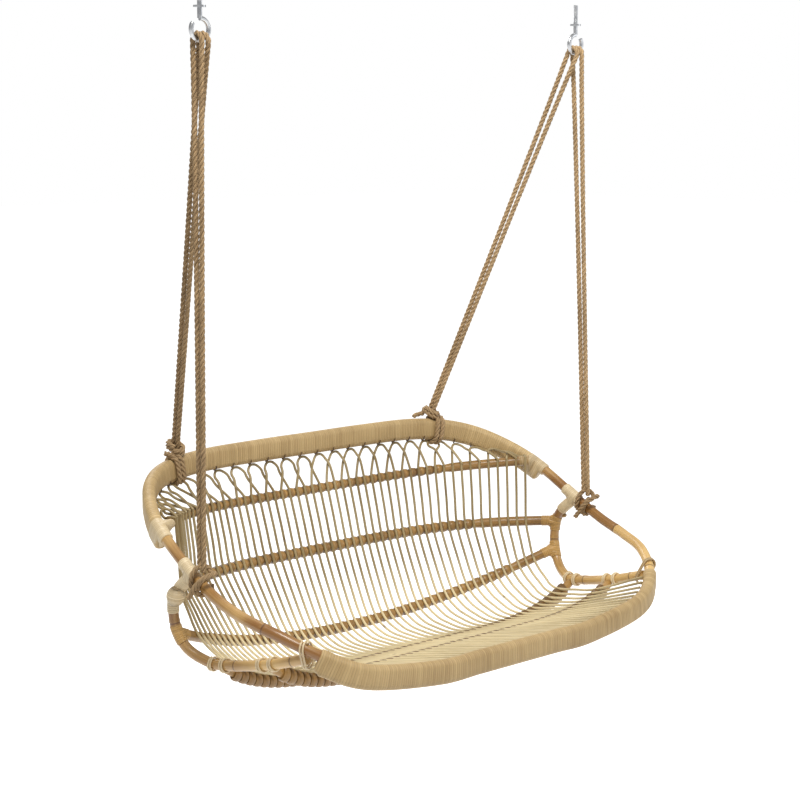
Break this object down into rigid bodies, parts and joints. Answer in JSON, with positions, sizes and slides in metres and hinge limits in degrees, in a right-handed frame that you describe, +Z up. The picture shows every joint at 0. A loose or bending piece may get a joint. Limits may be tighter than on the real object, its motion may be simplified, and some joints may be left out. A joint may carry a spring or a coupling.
{
  "type": "rattan swing",
  "caption": "Hanging rattan bench for a porch, with a dished spindle seat and back on bent poles, held by doubled ropes from ceiling hooks.",
  "frame": {"origin": "midway between the two ceiling hooks, on the ceiling plane that their collars bear on", "axes": "+Z up out of the ceiling, +X to the sitter's left along the line of hooks, -Y the way the sitter faces"},
  "size_m": [1.2646, 0.7321, 1.5148],
  "materials": {
    "pole": "varnished cane pole, golden brown",
    "binding": "flat cane strip, satin",
    "spindle": "peeled cane, satin",
    "cane": "split cane, satin",
    "rail": "varnished cane pole, reddish brown",
    "rope": "laid natural fibre, weathered",
    "steel": "zinc plated"
  },
  "bodies": {
    "ceiling_hooks": {"hook_left": "steel", "hook_right": "steel"},
    "bench": {"rope_rear_left": "rope", "rope_rear_right": "rope", "rope_front_left": "rope", "rope_front_right": "rope", "hitch_rear_left": "rope", "hitch_rear_right": "rope", "hitch_front_left": "rope", "hitch_front_right": "rope", "back_top_pole": "pole", "back_under_pole": "pole", "back_binding": "binding", "arm_left": "pole", "arm_right": "pole", "front_top_pole": "pole", "front_under_pole": "pole", "front_binding": "binding", "side_pole_left": "pole", "side_pole_right": "pole", "upper_rail": "rail", "middle_rail": "rail", "lower_rail": "rail", "rear_seat_rail": "rail", "front_seat_rail": "rail", "rear_winding_left": "cane", "rear_winding_right": "cane", "front_winding_left": "cane", "front_winding_right": "cane", "arm_lashing_left": "cane", "arm_lashing_right": "cane", "middle_lashing_left": "cane", "middle_lashing_right": "cane", "lower_lashing_left": "cane", "lower_lashing_right": "cane", "corner_tie_left": "cane", "corner_tie_right": "cane", "rear_rail_ties": "cane", "front_rail_ties": "cane", "spindle_pair_01": "spindle", "spindle_pair_02": "spindle", "spindle_pair_03": "spindle", "spindle_pair_04": "spindle", "spindle_pair_05": "spindle", "spindle_pair_06": "spindle", "spindle_pair_07": "spindle", "spindle_pair_08": "spindle", "spindle_pair_09": "spindle", "spindle_pair_10": "spindle", "spindle_pair_11": "spindle", "spindle_pair_12": "spindle", "spindle_pair_13": "spindle"}
  },
  "joints": [
    {"name": "swing", "type": "hinge", "parent": "ceiling_hooks", "child": "bench", "pos_m": [0, 0, -0.07], "axis": [1, 0, 0], "range_deg": [-25, 25]}
  ]
}
